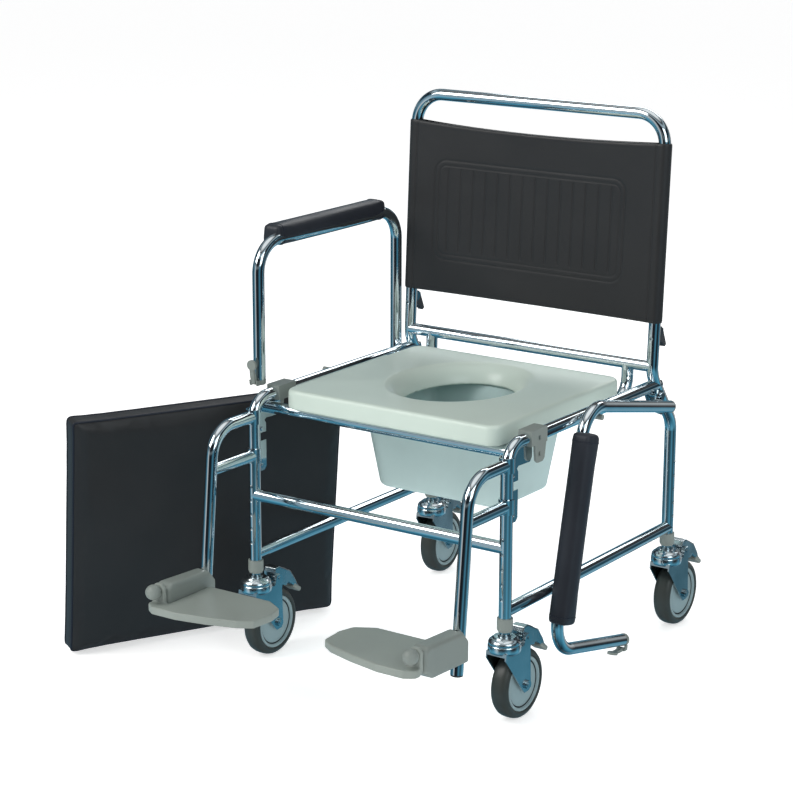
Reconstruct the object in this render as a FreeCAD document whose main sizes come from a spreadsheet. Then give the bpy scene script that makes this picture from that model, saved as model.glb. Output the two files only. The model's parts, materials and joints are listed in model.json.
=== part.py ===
import FreeCAD, Part
import math
import os
import Sketcher
from FreeCAD import Placement, Rotation, Vector

# Wheeled commode chair with a detachable back, drop-down armrests, lift-off footrests,
# telescopic castor legs, a lift-off seat board, a slide-out pan and a loose seat cushion.
# Chair axes: X to the chair's left hand side as seen from the front, Y rearwards, Z up.
# Y = 0 is the plane of the front legs, Z = 0 the floor, X = 0 the middle of the chair.

DIMENSIONS = {
    # chromed steel tube and side frames
    "tube_od": 22, "tube_id": 19.2, "track": 267, "leg_bottom": 189, "front_leg_top": 452,
    "rear_leg_y": 570, "rear_leg_top": 371, "rail_z": 491, "rail_bend": 38,
    "post_knee_y": 491.5, "post_knee_z": 512, "leg_knee_z": 408, "post_bend": 50,
    "post_top_y": 493.8, "post_top_z": 555, "lower_rail_z": 202, "front_tube_z": 314,
    # seat support frame under and behind the seat board
    "support_y": 60, "support_z": 462, "runner_x": 216, "runner_bend": 42,
    "back_tube_y": 492, "back_tube_z": 528,
    # back: tubes on spigots, handle bar and slung cover
    "recline": 3.13, "spigot_od": 18.6, "spigot_rise": 62, "back_tube_length": 428.5,
    "back_bend": 55, "cover_start": 53, "cover_length": 326, "cover_half_width": 279.7,
    "cover_depth": 27, "cover_web": 8, "button_rise": 25, "lever_y": 16.5, "lever_z": 38,
    # armrests, drawn in the raised position
    "arm_x": 292, "arm_rear_y": 479.5, "arm_front_y": 50, "arm_top_z": 762, "arm_bend": 56,
    "arm_cap_z": 449, "arm_front_z": 514, "pivot_y": 498, "pivot_z": 474, "drop_angle": 77.6,
    "pad_x": 301, "pad_front": 102, "pad_length": 331, "pad_low": 750, "pad_high": 789,
    "pad_half": 19.2,
    # lift-off footrests
    "hanger_top_z": 460, "hanger_y": -115.5, "hanger_foot_y": -147, "hanger_foot_z": 136,
    "hanger_bend": 55, "brace_z": 388, "saddle_bore": 22.8, "saddle_od": 28,
    "hinge_x": 268, "hinge_z": 209, "plate_top": 188, "plate_thick": 14,
    # seat board, pan and loose cushion
    "seat_half": 226, "seat_front": 31, "seat_rear": 457, "seat_low": 473.2, "seat_thick": 36,
    "hole_y": 262, "hole_half_x": 94, "hole_half_y": 120, "dish_x": 130, "dish_y": 156,
    "pan_y": 276, "pan_low": 309, "pan_high": 470,
    "cushion_x": -552, "cushion_y": -197.5, "cushion_yaw": 62.8, "cushion_lean": 6.8,
    "cushion_long": 548, "cushion_tall": 466, "cushion_thick": 46,
    # castors on telescopic stems
    "stem_od": 18.6, "stem_bottom": 160, "stem_top": 352, "hole_z": 331, "hole_pitch": 26.5,
    "wheel_radius": 62.5, "wheel_trail": 40, "tyre_width": 34, "hub_radius": 44,
    "cup_top": 158.5, "cup_low": 132, "cup_radius": 28, "brake_y": 44, "brake_z": 146,
}

SIDES = (("left", -1), ("right", 1))
# name, side, whether it is a rear leg, and the heading that its castor has swivelled to
CORNERS = (("front_left", -1, False, 0), ("front_right", 1, False, -1),
           ("rear_left", -1, True, 4), ("rear_right", 1, True, 0))
NODES = []

doc = FreeCAD.newDocument("commode_chair")
dims = doc.addObject("Spreadsheet::Sheet", "dims")
for row, (alias, size) in enumerate(DIMENSIONS.items(), start=1):
    dims.set("A%d" % row, alias)
    dims.set("B%d" % row, str(size))
    dims.setAlias("B%d" % row, alias)
doc.recompute()


def size_of(expression):
    """The present value of an expression over the sheet, in millimetres."""
    return float(dims.evalExpression(str(expression)))


def bind(thing, prop, expression):
    thing.setExpression(prop, str(expression))


def new_body(name):
    return doc.addObject("PartDesign::Body", name)


def new_sketch(body, name, plane, shift=("0", "0", "0"), turn=None):
    """A sketch on one of the body's origin planes, moved by three expressions."""
    sketch = body.newObject("Sketcher::SketchObject", name)
    face = [item for item in body.Origin.OriginFeatures if item.Role == plane][0]
    sketch.AttachmentSupport = [(face, "")]
    sketch.MapMode = "FlatFace"
    if turn is not None:
        sketch.AttachmentOffset = Placement(Vector(), Rotation(Vector(0, 0, 1), turn))
    for axis, expression in zip("xyz", shift):
        if expression != "0":
            bind(sketch, "AttachmentOffset.Base." + axis, expression)
    return sketch


def hold(sketch, constraint, expression):
    """Adds a constraint whose value follows the sheet."""
    index = sketch.addConstraint(constraint)
    bind(sketch, "Constraints[%d]" % index, expression)


def hold_point(sketch, item, end, x, y):
    hold(sketch, Sketcher.Constraint("DistanceX", -1, 1, item, end, size_of(x)), x)
    hold(sketch, Sketcher.Constraint("DistanceY", -1, 1, item, end, size_of(y)), y)


def draw_circle(sketch, diameter, x="0", y="0"):
    centre = Vector(size_of(x), size_of(y), 0)
    item = sketch.addGeometry(Part.Circle(centre, Vector(0, 0, 1), size_of(diameter) / 2))
    hold(sketch, Sketcher.Constraint("Diameter", item, size_of(diameter)), diameter)
    if (x, y) == ("0", "0"):
        sketch.addConstraint(Sketcher.Constraint("Coincident", item, 3, -1, 1))
    else:
        hold_point(sketch, item, 3, x, y)


def draw_outline(sketch, corners):
    """A closed straight-sided outline through corners given as expressions."""
    spots = [Vector(size_of(x), size_of(y), 0) for x, y in corners]
    count = len(spots)
    items = [sketch.addGeometry(Part.LineSegment(spots[n], spots[(n + 1) % count]))
             for n in range(count)]
    for n in range(count):
        sketch.addConstraint(Sketcher.Constraint("Coincident", items[n], 2, items[(n + 1) % count], 1))
        hold_point(sketch, items[n], 1, *corners[n])


def draw_box(sketch, left, right, low, high):
    draw_outline(sketch, [(left, low), (right, low), (right, high), (left, high)])


def draw_ellipse(sketch, half_x, half_y):
    """An ellipse round the sketch's own origin."""
    wide, tall = size_of(half_x), size_of(half_y)
    first, second = Vector(wide, 0, 0), Vector(0, tall, 0)
    if wide < tall:
        first, second = second, Vector(-wide, 0, 0)
    item = sketch.addGeometry(Part.Ellipse(first, second, Vector()))
    sketch.addConstraint(Sketcher.Constraint("Coincident", item, 3, -1, 1))


def draw_path(sketch, corners, radius):
    """Straight runs joined by tangent arcs, through corners given as expressions."""
    spots = [Vector(size_of(x), size_of(y), 0) for x, y in corners]
    bend = size_of(radius)
    marks = []
    for n, spot in enumerate(spots):
        mark = sketch.addGeometry(Part.Point(spot), True)
        hold_point(sketch, mark, 1, *corners[n])
        marks.append(mark)
    start = spots[0]
    runs, arcs = [], []
    for n in range(1, len(spots)):
        ahead = (spots[n] - spots[n - 1]).normalize()
        end = spots[n]
        if n < len(spots) - 1:
            leave = (spots[n + 1] - spots[n]).normalize()
            turn = ahead.getAngle(leave)
            reach = bend * math.tan(turn / 2)
            end = spots[n] - ahead * reach
            middle = spots[n] + (leave - ahead).normalize() * (bend / math.cos(turn / 2) - bend)
            arc = Part.Arc(end, middle, spots[n] + leave * reach)
        runs.append(sketch.addGeometry(Part.LineSegment(start, end)))
        if n < len(spots) - 1:
            arcs.append(sketch.addGeometry(arc))
            start = spots[n] + leave * reach
    for n in range(len(runs) - 1):
        sketch.addConstraint(Sketcher.Constraint("PointOnObject", marks[n + 1], 1, runs[n]))
        sketch.addConstraint(Sketcher.Constraint("PointOnObject", marks[n + 1], 1, runs[n + 1]))
    sketch.addConstraint(Sketcher.Constraint("Coincident", runs[0], 1, marks[0], 1))
    sketch.addConstraint(Sketcher.Constraint("Coincident", runs[-1], 2, marks[-1], 1))
    for n, arc in enumerate(arcs):
        gap = sketch.getPoint(arc, 1).distanceToPoint(sketch.getPoint(runs[n], 2))
        ends = (1, 2) if gap < 0.01 else (2, 1)
        sketch.addConstraint(Sketcher.Constraint("Tangent", runs[n], 2, arc, ends[0]))
        sketch.addConstraint(Sketcher.Constraint("Tangent", arc, ends[1], runs[n + 1], 1))
        hold(sketch, Sketcher.Constraint("Radius", arc, bend), radius)


def pad(body, sketch, length, both=False, back=False):
    feature = body.newObject("PartDesign::Pad", sketch.Name + "_pad")
    feature.Profile = sketch
    bind(feature, "Length", length)
    feature.Midplane = both
    feature.Reversed = back
    return feature


def pocket(body, sketch, depth="1200", both=True, back=False):
    """Cuts a sketch out of the body, and makes sure that it did cut something."""
    doc.recompute()
    before = body.Shape.Volume
    feature = body.newObject("PartDesign::Pocket", sketch.Name + "_cut")
    feature.Profile = sketch
    bind(feature, "Length", depth)
    feature.Midplane = both
    feature.Reversed = back
    doc.recompute()
    if not body.Shape.Volume < before - 0.01:
        raise RuntimeError(feature.Name + " cuts nothing")
    return feature


def pipe(body, profile, path):
    feature = body.newObject("PartDesign::AdditivePipe", path.Name + "_pipe")
    feature.Profile = profile
    feature.Spine = path
    return feature


def revolve(body, sketch, axis="V_Axis"):
    feature = body.newObject("PartDesign::Revolution", sketch.Name + "_turned")
    feature.Profile = sketch
    feature.ReferenceAxis = (sketch, [axis])
    feature.Angle = 360
    return feature


def round_edges(body, radius, wanted):
    """Rounds the edges that the test picks."""
    doc.recompute()
    names = ["Edge%d" % (n + 1) for n, edge in enumerate(body.Shape.Edges) if wanted(edge)]
    last = body.Tip
    feature = body.newObject("PartDesign::Fillet", body.Name + "_round%d" % len(body.Group))
    feature.Base = (last, names)
    bind(feature, "Radius", radius)
    doc.recompute()
    if "Invalid" in feature.State:
        raise RuntimeError(feature.Name + " failed")


def finish(thing, label, place=None):
    """Registers a finished sub-part, standing where the chair holds it."""
    thing.Label = label
    if place is not None:
        thing.Placement = place
    NODES.append(thing)


def side(sign, expression):
    """Mirrors an X expression to one side of the chair."""
    return "%d * (%s)" % (sign, expression)


def cope(base, tools):
    """Cuts other solids out of one."""
    for n, tool in enumerate(tools):
        cut = doc.addObject("Part::Cut", "%s_cope%d" % (base.Name, n))
        cut.Base = base
        cut.Tool = tool
        base = cut
    return base


def join(name, pieces):
    group = doc.addObject("Part::Compound", name)
    group.Links = pieces
    return group


def straight_tube(name, plane, x, y, z, length, bore="dims.tube_id", outer="dims.tube_od",
                  both=False, back=False):
    """A tube square to an origin plane. x, y and z are in the sketch's own axes."""
    body = new_body(name)
    ring = new_sketch(body, name + "_ring", plane, (x, y, z))
    draw_circle(ring, outer)
    if bore:
        draw_circle(ring, bore)
    pad(body, ring, length, both, back)
    return body


def bent_tube(name, x, start, corners, radius, bore="dims.tube_id", outer="dims.tube_od",
              along="z"):
    """A tube bent in a plane of constant X that sets out along Z or Y."""
    body = new_body(name)
    path = new_sketch(body, name + "_path", "YZ_Plane", ("0", "0", x))
    draw_path(path, corners, radius)
    if along == "z":
        ring = new_sketch(body, name + "_ring", "XY_Plane", (x, start[0], start[1]))
    else:
        ring = new_sketch(body, name + "_ring", "XZ_Plane", (x, start[1], "-(%s)" % start[0]))
    draw_circle(ring, outer)
    if bore:
        draw_circle(ring, bore)
    pipe(body, ring, path)
    return body


# ---------------------------------------------------------------- side frames

POST = [("dims.rear_leg_y", "dims.rear_leg_top"), ("dims.rear_leg_y", "dims.leg_knee_z"),
        ("dims.post_knee_y", "dims.post_knee_z"), ("dims.post_top_y", "dims.post_top_z")]
RAIL = [("0", "dims.front_leg_top"), ("0", "dims.rail_z"), ("515", "dims.rail_z")]
CORES = {}


def make_cores():
    """Solid rods that fill the side tubes, used to cope the tubes that meet them."""
    for name, sign in SIDES:
        x = side(sign, "dims.track")
        CORES[name, "post"] = bent_tube(name + "_post_core", x, POST[0], POST, "dims.post_bend", bore=None)
        CORES[name, "rail"] = bent_tube(name + "_rail_core", x, RAIL[0], RAIL, "dims.rail_bend", bore=None)
        for end, y in (("front", "0"), ("rear", "dims.rear_leg_y")):
            CORES[name, end] = straight_tube("%s_%s_leg_core" % (name, end), "XY_Plane", x, y,
                                             "dims.leg_bottom", "dims.%s_leg_top - dims.leg_bottom" % end,
                                             bore=None)


def make_side_frames():
    for name, sign in SIDES:
        x = side(sign, "dims.track")
        rail = bent_tube(name + "_rail", x, RAIL[0], RAIL, "dims.rail_bend")
        finish(cope(rail, [CORES[name, "post"]]), name + "_side_rail")
        post = bent_tube(name + "_post", x, POST[0], POST, "dims.post_bend")
        spigot = new_body(name + "_spigot")
        ring = new_sketch(spigot, name + "_spigot_ring", "XY_Plane")
        draw_circle(ring, "dims.spigot_od")
        draw_circle(ring, "dims.spigot_od - 3")
        pad(spigot, ring, "dims.spigot_rise + 12")
        hole = new_sketch(spigot, name + "_spigot_hole", "XZ_Plane", ("0", "dims.button_rise + 12", "0"))
        draw_circle(hole, "6.4")
        pocket(spigot, hole, "14", both=False, back=True)
        spigot.Placement = Placement(back_seat(sign, "-12"), recline())
        whole = doc.addObject("Part::Fuse", name + "_post_spigot")
        whole.Base = post
        whole.Tool = spigot
        finish(whole, name + "_back_post")
    for corner, sign, rear, heading in CORNERS:
        y = "dims.rear_leg_y" if rear else "0"
        top = "dims.rear_leg_top" if rear else "dims.front_leg_top"
        leg = straight_tube(corner + "_leg_tube", "XY_Plane", side(sign, "dims.track"), y,
                            "dims.leg_bottom", "%s - dims.leg_bottom" % top)
        drill_leg(leg, corner, sign, rear)
        finish(leg, corner + "_leg")


def drill_leg(leg, corner, sign, rear):
    """Five height holes: outward in the rear legs, forward in the front legs."""
    for step in range(5):
        height = "dims.hole_z - %d * dims.hole_pitch" % step
        name = "%s_hole%d" % (corner, step)
        if rear:
            spot = new_sketch(leg, name, "YZ_Plane", ("dims.rear_leg_y", height, side(sign, "dims.track")))
            draw_circle(spot, "6.6")
            pocket(leg, spot, "14", both=False, back=sign > 0)
        else:
            spot = new_sketch(leg, name, "XZ_Plane", (side(sign, "dims.track"), height, "0"))
            draw_circle(spot, "6.6")
            pocket(leg, spot, "14", both=False, back=True)


def back_seat(sign, rise):
    """Where the back's tube axis stands at a distance above the top of its post."""
    x = sign * size_of("dims.track")
    angle = math.radians(size_of("dims.recline"))
    up = size_of(rise)
    y = size_of("dims.post_top_y") + up * math.sin(angle)
    z = size_of("dims.post_top_z") + up * math.cos(angle)
    return Vector(x, y, z)


def recline():
    return Rotation(Vector(1, 0, 0), -size_of("dims.recline"))


def make_lower_frame():
    """Lower side rails and the front cross tube, coped to the legs."""
    pieces = []
    for name, sign in SIDES:
        rail = straight_tube(name + "_lower_rail", "XZ_Plane", side(sign, "dims.track"),
                             "dims.lower_rail_z", "-dims.rear_leg_y", "dims.rear_leg_y")
        pieces.append(cope(rail, [CORES[name, "front"], CORES[name, "rear"]]))
    cross = straight_tube("front_cross", "YZ_Plane", "0", "dims.front_tube_z",
                          "0", "2 * dims.track", both=True)
    pieces.append(cope(cross, [CORES["left", "front"], CORES["right", "front"]]))
    finish(join("lower_tubes", pieces), "lower_frame_tubes")


def make_seat_support():
    """Two runners bent up at the back, joined by a front and a back cross tube."""
    front = straight_tube("support_front", "YZ_Plane", "dims.support_y", "dims.support_z",
                          "0", "2 * dims.track - 3", both=True)
    rear = straight_tube("support_rear", "YZ_Plane", "dims.back_tube_y", "dims.back_tube_z",
                         "0", "2 * dims.track", both=True)
    front_core = straight_tube("support_front_core", "YZ_Plane", "dims.support_y", "dims.support_z",
                               "0", "2 * dims.track - 3", bore=None, both=True)
    rear_core = straight_tube("support_rear_core", "YZ_Plane", "dims.back_tube_y", "dims.back_tube_z",
                              "0", "2 * dims.track", bore=None, both=True)
    pieces = [front, cope(rear, [CORES["left", "post"], CORES["right", "post"]])]
    for name, sign in SIDES:
        runner = bent_tube(name + "_runner", side(sign, "dims.runner_x"),
                           ("dims.support_y", "dims.support_z"),
                           [("dims.support_y", "dims.support_z"),
                            ("dims.back_tube_y", "dims.support_z"),
                            ("dims.back_tube_y", "dims.back_tube_z")],
                           "dims.runner_bend", along="y")
        pieces.append(cope(runner, [front_core, rear_core]))
    finish(join("support_tubes", pieces), "seat_support_frame")


def make_leg_collars():
    collars = []
    for corner, sign, rear, heading in CORNERS:
        y = "dims.rear_leg_y" if rear else "0"
        body = new_body(corner + "_collar")
        ring = new_sketch(body, corner + "_collar_ring", "XZ_Plane",
                          (side(sign, "dims.track"), "dims.leg_bottom", "-(%s)" % y))
        draw_outline(ring, [("9.6", "-22"), ("12", "-22"), ("13.8", "-18"), ("13.8", "1.5"),
                            ("11.05", "1.5"), ("11.05", "-0.2"), ("9.6", "-0.2")])
        revolve(body, ring)
        collars.append(body)
    finish(join("collars", collars), "leg_collars")


def plate(name, x, thick, corners):
    """A flat plate in a plane of constant X, centred on it."""
    body = new_body(name)
    outline = new_sketch(body, name + "_outline", "YZ_Plane", ("0", "0", x))
    draw_outline(outline, corners)
    pad(body, outline, thick, both=True)
    return body


def rod(name, x, y, z, diameter, length, back=False):
    """A round pin along X, from x outwards."""
    return straight_tube(name, "YZ_Plane", y, z, x, length, bore=None, outer=diameter, back=back)


def make_brackets():
    """Welded gussets and hinge plates, footrest hook plates with rivets, and pivot bolts."""
    pieces = []
    for name, sign in SIDES:
        x = side(sign, "dims.track")
        gusset = plate(name + "_gusset", x, "3",
                       [("0", "431"), ("34", "450"), ("70", "449"), ("76", "456"), ("76", "491"),
                        ("38", "491"), ("0", "453")])
        hinge = plate(name + "_hinge_plate", x, "4",
                      [("462", "491"), ("515", "491"), ("545", "440"), ("532", "428"), ("488", "446")])
        hook = plate(name + "_hook_plate", x, "3",
                     [("0", "354"), ("27", "354"), ("33", "360"), ("33", "410"), ("17", "410"),
                      ("17", "425"), ("33", "425"), ("33", "440"), ("26", "452"), ("0", "452")])
        bores = new_sketch(hinge, name + "_hinge_bore", "YZ_Plane", ("dims.pivot_y", "dims.pivot_z", x))
        draw_circle(bores, "7.05")
        pocket(hinge, bores, "20")
        CORES[name, "gusset"] = gusset
        welded = doc.addObject("Part::MultiFuse", name + "_front_plates")
        welded.Shapes = [gusset, hook]
        rail = CORES[name, "rail"]
        pieces += [cope(welded, [CORES[name, "front"], rail]), cope(hinge, [CORES[name, "post"], rail])]
        for n, height in enumerate(("432", "363")):
            for face in (-1, 1):
                pieces.append(rod("%s_rivet_%d_%d" % (name, n, face + 1),
                                  "%s + %g" % (x, 1.5 * face), "21", height, "8", "2.5", back=face < 0))
        pieces += pivot_bolt(name, sign)
    finish(join("brackets", pieces), "frame_brackets")


def pivot_bolt(name, sign):
    """A shouldered bolt through the hinge plate, with its nut on the inner side."""
    bolt = new_body(name + "_pivot_bolt")
    shank = new_sketch(bolt, name + "_shank", "YZ_Plane",
                       ("dims.pivot_y", "dims.pivot_z", side(sign, "dims.track - 10")))
    draw_circle(shank, "7")
    pad(bolt, shank, "31", back=sign < 0)
    shoulder = new_sketch(bolt, name + "_shoulder", "YZ_Plane",
                          ("dims.pivot_y", "dims.pivot_z", side(sign, "dims.track + 2")))
    draw_circle(shoulder, "10")
    pad(bolt, shoulder, "8.5", back=sign < 0)
    head = new_sketch(bolt, name + "_bolt_head", "YZ_Plane",
                      ("dims.pivot_y", "dims.pivot_z", side(sign, "dims.track + 15")))
    draw_circle(head, "14")
    pad(bolt, head, "6", back=sign < 0)
    nut = new_body(name + "_pivot_nut")
    outline = new_sketch(nut, name + "_nut_outline", "YZ_Plane",
                         ("dims.pivot_y", "dims.pivot_z", side(sign, "dims.track - 2")))
    corners = [("%.4f" % (6.6 * math.cos(math.radians(60 * n))),
                "%.4f" % (6.6 * math.sin(math.radians(60 * n)))) for n in range(6)]
    draw_outline(outline, corners)
    draw_circle(outline, "7")
    pad(nut, outline, "5.5", back=sign > 0)
    return [bolt, nut]


def make_receivers():
    """Plastic clips on the side rails for the raised armrests, and the pegs they drop on."""
    pieces = []
    for name, sign in SIDES:
        x = side(sign, "dims.track")
        clip = new_body(name + "_receiver")
        wrap = new_sketch(clip, name + "_receiver_wrap", "XZ_Plane", (x, "dims.rail_z", "-56"))
        out = "%d * 13" % sign
        inner = "%d * -14" % sign
        draw_outline(wrap, [(inner, "-12"), (out, "-12"), (out, "14.5"), (inner, "14.5")])
        pad(clip, wrap, "50", back=True)
        tongue = new_sketch(clip, name + "_receiver_tongue", "YZ_Plane",
                            ("0", "0", side(sign, "dims.track + 9.2")))
        draw_outline(tongue, [("66", "485"), ("70", "452"), ("76", "447"), ("92", "447"),
                              ("98", "452"), ("104", "485")])
        pad(clip, tongue, "3.8", back=sign < 0)
        bore = new_sketch(clip, name + "_receiver_bore", "XZ_Plane", (x, "dims.rail_z", "-80"))
        draw_circle(bore, "dims.tube_od + 0.02")
        pocket(clip, bore, "200")
        for n, height in enumerate(("490", "462")):
            window = new_sketch(clip, "%s_window%d" % (name, n), "YZ_Plane",
                                ("0", "0", side(sign, "dims.track + 13")))
            low, high = "%s - 4" % height, "%s + 4" % height
            draw_box(window, "78", "84", low, high)
            pocket(clip, window, "3", both=False, back=sign < 0)
        peg = rod(name + "_stop_peg", side(sign, "dims.track + 8"), "256", "489.6", "10", "26", back=sign < 0)
        pieces += [cope(clip, [CORES[name, "gusset"]]), cope(peg, [CORES[name, "rail"]])]
    finish(join("receivers", pieces), "armrest_receivers")


# ---------------------------------------------------------------- castor legs

def make_caster(corner, sign, rear, heading):
    x = side(sign, "dims.track")
    y = "dims.rear_leg_y" if rear else "0"
    place = Placement(Vector(size_of(x), size_of(y), 0), Rotation(Vector(0, 0, 1), heading))
    make_stem(corner, sign, rear, x, y)
    make_fork(corner, place)
    make_wheel(corner, place)
    make_brake(corner, place)


def make_stem(corner, sign, rear, x, y):
    """Inner leg tube with the kingpin that the castor swivels on."""
    stem = new_body(corner + "_stem_body")
    profile = new_sketch(stem, corner + "_stem_profile", "XZ_Plane", (x, "0", "-(%s)" % y))
    draw_outline(profile, [("0", "136"), ("4.95", "136"), ("4.95", "dims.stem_bottom - 1"),
                           ("12", "dims.stem_bottom - 1"), ("12", "dims.stem_bottom + 2"),
                           ("dims.stem_od / 2", "dims.stem_bottom + 2"), ("dims.stem_od / 2", "dims.stem_top"),
                           ("dims.stem_od / 2 - 1.5", "dims.stem_top"),
                           ("dims.stem_od / 2 - 1.5", "dims.stem_bottom + 20"), ("0", "dims.stem_bottom + 20")])
    revolve(stem, profile)
    button = new_body(corner + "_button_body")
    if rear:
        drill = new_sketch(stem, corner + "_stem_hole", "YZ_Plane", (y, "dims.hole_z", x))
        draw_circle(drill, "6.4")
        pocket(stem, drill, "14", both=False, back=sign > 0)
        spot = new_sketch(button, corner + "_button", "YZ_Plane", (y, "dims.hole_z", x + " + %g" % (4 * sign)))
        draw_circle(spot, "6.25")
        pad(button, spot, "4.7", back=sign < 0)
    else:
        drill = new_sketch(stem, corner + "_stem_hole", "XZ_Plane", (x, "dims.hole_z", "0"))
        draw_circle(drill, "6.4")
        pocket(stem, drill, "14", both=False, back=True)
        spot = new_sketch(button, corner + "_button", "XZ_Plane", (x, "dims.hole_z", "4"))
        draw_circle(spot, "6.25")
        pad(button, spot, "4.7")
    finish(stem, corner + "_leg_stem")
    finish(button, corner + "_leg_button")


def make_fork(corner, place):
    """Pressed sheet fork under a domed swivel cup, with its axle bolt and the brake's pin."""
    fork = new_body(corner + "_fork_body")
    cup = new_sketch(fork, corner + "_cup", "XZ_Plane")
    draw_outline(cup, [("5", "dims.cup_low - 3"), ("dims.cup_radius - 4", "dims.cup_low - 3"),
                       ("dims.cup_radius", "dims.cup_low + 2"), ("dims.cup_radius", "dims.cup_top - 10"),
                       ("dims.cup_radius - 9", "dims.cup_top"), ("5", "dims.cup_top")])
    revolve(fork, cup)
    cheek = new_sketch(fork, corner + "_cheek", "YZ_Plane")
    draw_outline(cheek, [("-25", "dims.cup_low + 4"), ("-27", "dims.cup_low - 8"),
                         ("dims.wheel_trail - 13", "56"), ("dims.wheel_trail - 6", "49"),
                         ("dims.wheel_trail + 8", "50"), ("dims.wheel_trail + 13", "58"),
                         ("50", "dims.cup_low - 8"), ("54", "146"), ("46", "154"), ("36", "152"),
                         ("30", "dims.cup_low + 4")])
    pad(fork, cheek, "41", both=True)
    inside = new_sketch(fork, corner + "_fork_inside", "XZ_Plane")
    draw_box(inside, "-18", "18", "20", "dims.cup_low - 3")
    pocket(fork, inside, "400")
    room = new_sketch(fork, corner + "_brake_room", "YZ_Plane")
    draw_box(room, "29", "80", "100", "170")
    pocket(fork, room, "27.2")
    stub = straight_tube(corner + "_kingpin_room", "XY_Plane", "0", "0", "100", "80", bore=None, outer="10")
    axle = straight_tube(corner + "_axle", "YZ_Plane", "dims.wheel_trail", "dims.wheel_radius", "0",
                         "52", bore=None, outer="8", both=True)
    for n, face in enumerate((-1, 1)):
        head = new_sketch(axle, "%s_axle_head%d" % (corner, n), "YZ_Plane",
                          ("dims.wheel_trail", "dims.wheel_radius", "%g" % (20.5 * face)))
        draw_circle(head, "15")
        pad(axle, head, "4.5", back=face < 0)
    pin = straight_tube(corner + "_brake_pin", "YZ_Plane", "dims.brake_y", "dims.brake_z", "0",
                        "44", bore=None, outer="6", both=True)
    holes = new_sketch(fork, corner + "_fork_holes", "YZ_Plane")
    draw_circle(holes, "8", "dims.wheel_trail", "dims.wheel_radius")
    draw_circle(holes, "6", "dims.brake_y", "dims.brake_z")
    pocket(fork, holes, "60")
    finish(join(corner + "_fork_set", [cope(fork, [stub]), axle, pin]), corner + "_caster_fork", place)


def make_wheel(corner, place):
    """Hub turning on the axle, and the soft tyre bonded round it."""
    centre = ("0", "dims.wheel_radius", "-dims.wheel_trail")
    hub = new_body(corner + "_hub_body")
    outline = new_sketch(hub, corner + "_hub_profile", "XZ_Plane", centre)
    draw_outline(outline, [("-17.5", "4.05"), ("17.5", "4.05"), ("17.5", "12"), ("13", "14"), ("9", "34"),
                           ("12.5", "37"), ("12.5", "dims.hub_radius"), ("-12.5", "dims.hub_radius"),
                           ("-12.5", "37"), ("-9", "34"), ("-13", "14"), ("-17.5", "12")])
    revolve(hub, outline, "H_Axis")
    tyre = new_body(corner + "_tyre_body")
    section = new_sketch(tyre, corner + "_tyre_profile", "XZ_Plane", centre)
    half = "dims.tyre_width / 2"
    draw_outline(section, [("-12.4", "dims.hub_radius"), ("12.4", "dims.hub_radius"),
                           (half + " - 1", "dims.hub_radius + 2"), (half, "dims.wheel_radius - 10"),
                           (half + " - 3.5", "dims.wheel_radius - 3.5"), (half + " - 9", "dims.wheel_radius"),
                           ("-(%s) + 9" % half, "dims.wheel_radius"),
                           ("-(%s) + 3.5" % half, "dims.wheel_radius - 3.5"),
                           ("-(%s)" % half, "dims.wheel_radius - 10"),
                           ("-(%s) + 1" % half, "dims.hub_radius + 2")])
    revolve(tyre, section, "H_Axis")
    finish(hub, corner + "_wheel_hub", place)
    finish(tyre, corner + "_tyre", place)


def make_brake(corner, place):
    """Foot brake: a stepped pedal hinged behind the cup, with its shoe just over the tyre."""
    body = new_body(corner + "_brake_body")
    shape = new_sketch(body, corner + "_brake_shape", "YZ_Plane")
    draw_outline(shape, [("38.5", "139"), ("50", "137"), ("62", "126.5"), ("74", "122.5"), ("80", "128"),
                         ("98", "114"), ("116", "101"), ("118", "105"), ("106", "117"), ("102", "126"),
                         ("86", "148"), ("54", "165"), ("42", "164"), ("38.5", "156")])
    pad(body, shape, "26", both=True)
    slot = new_sketch(body, corner + "_brake_slot", "YZ_Plane")
    draw_outline(slot, [("56", "150"), ("82", "136"), ("84", "143"), ("58", "157")])
    pocket(body, slot, "20")
    bore = new_sketch(body, corner + "_brake_bore", "YZ_Plane")
    draw_circle(bore, "6.1", "dims.brake_y", "dims.brake_z")
    pocket(body, bore, "60")
    finish(body, corner + "_brake_pedal", place)


# ---------------------------------------------------------------- back

def make_back():
    """Inverted U with a handle bar, built upright and then reclined on its posts."""
    seat = Placement(Vector(0, size_of("dims.post_top_y"), size_of("dims.post_top_z")), recline())
    tube = new_body("back_tube")
    path = new_sketch(tube, "back_path", "XZ_Plane")
    draw_path(path, [("-dims.track", "0.4"), ("-dims.track", "dims.back_tube_length"),
                     ("dims.track", "dims.back_tube_length"), ("dims.track", "0.4")], "dims.back_bend")
    ring = new_sketch(tube, "back_ring", "XY_Plane", ("-dims.track", "0", "0.4"))
    draw_circle(ring, "dims.tube_od")
    draw_circle(ring, "dims.tube_id")
    pipe(tube, ring, path)
    for name, sign in SIDES:
        hole = new_sketch(tube, name + "_back_hole", "XZ_Plane", (side(sign, "dims.track"), "dims.button_rise", "0"))
        draw_circle(hole, "6.6")
        pocket(tube, hole, "14", both=False, back=True)
    finish(join("back_tube_set", [tube] + make_lever_ears(tube)), "back_frame", seat)
    make_cover(seat)
    for name, sign in SIDES:
        make_back_button(name, sign, seat)
        make_back_lever(name, sign, seat)


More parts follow.
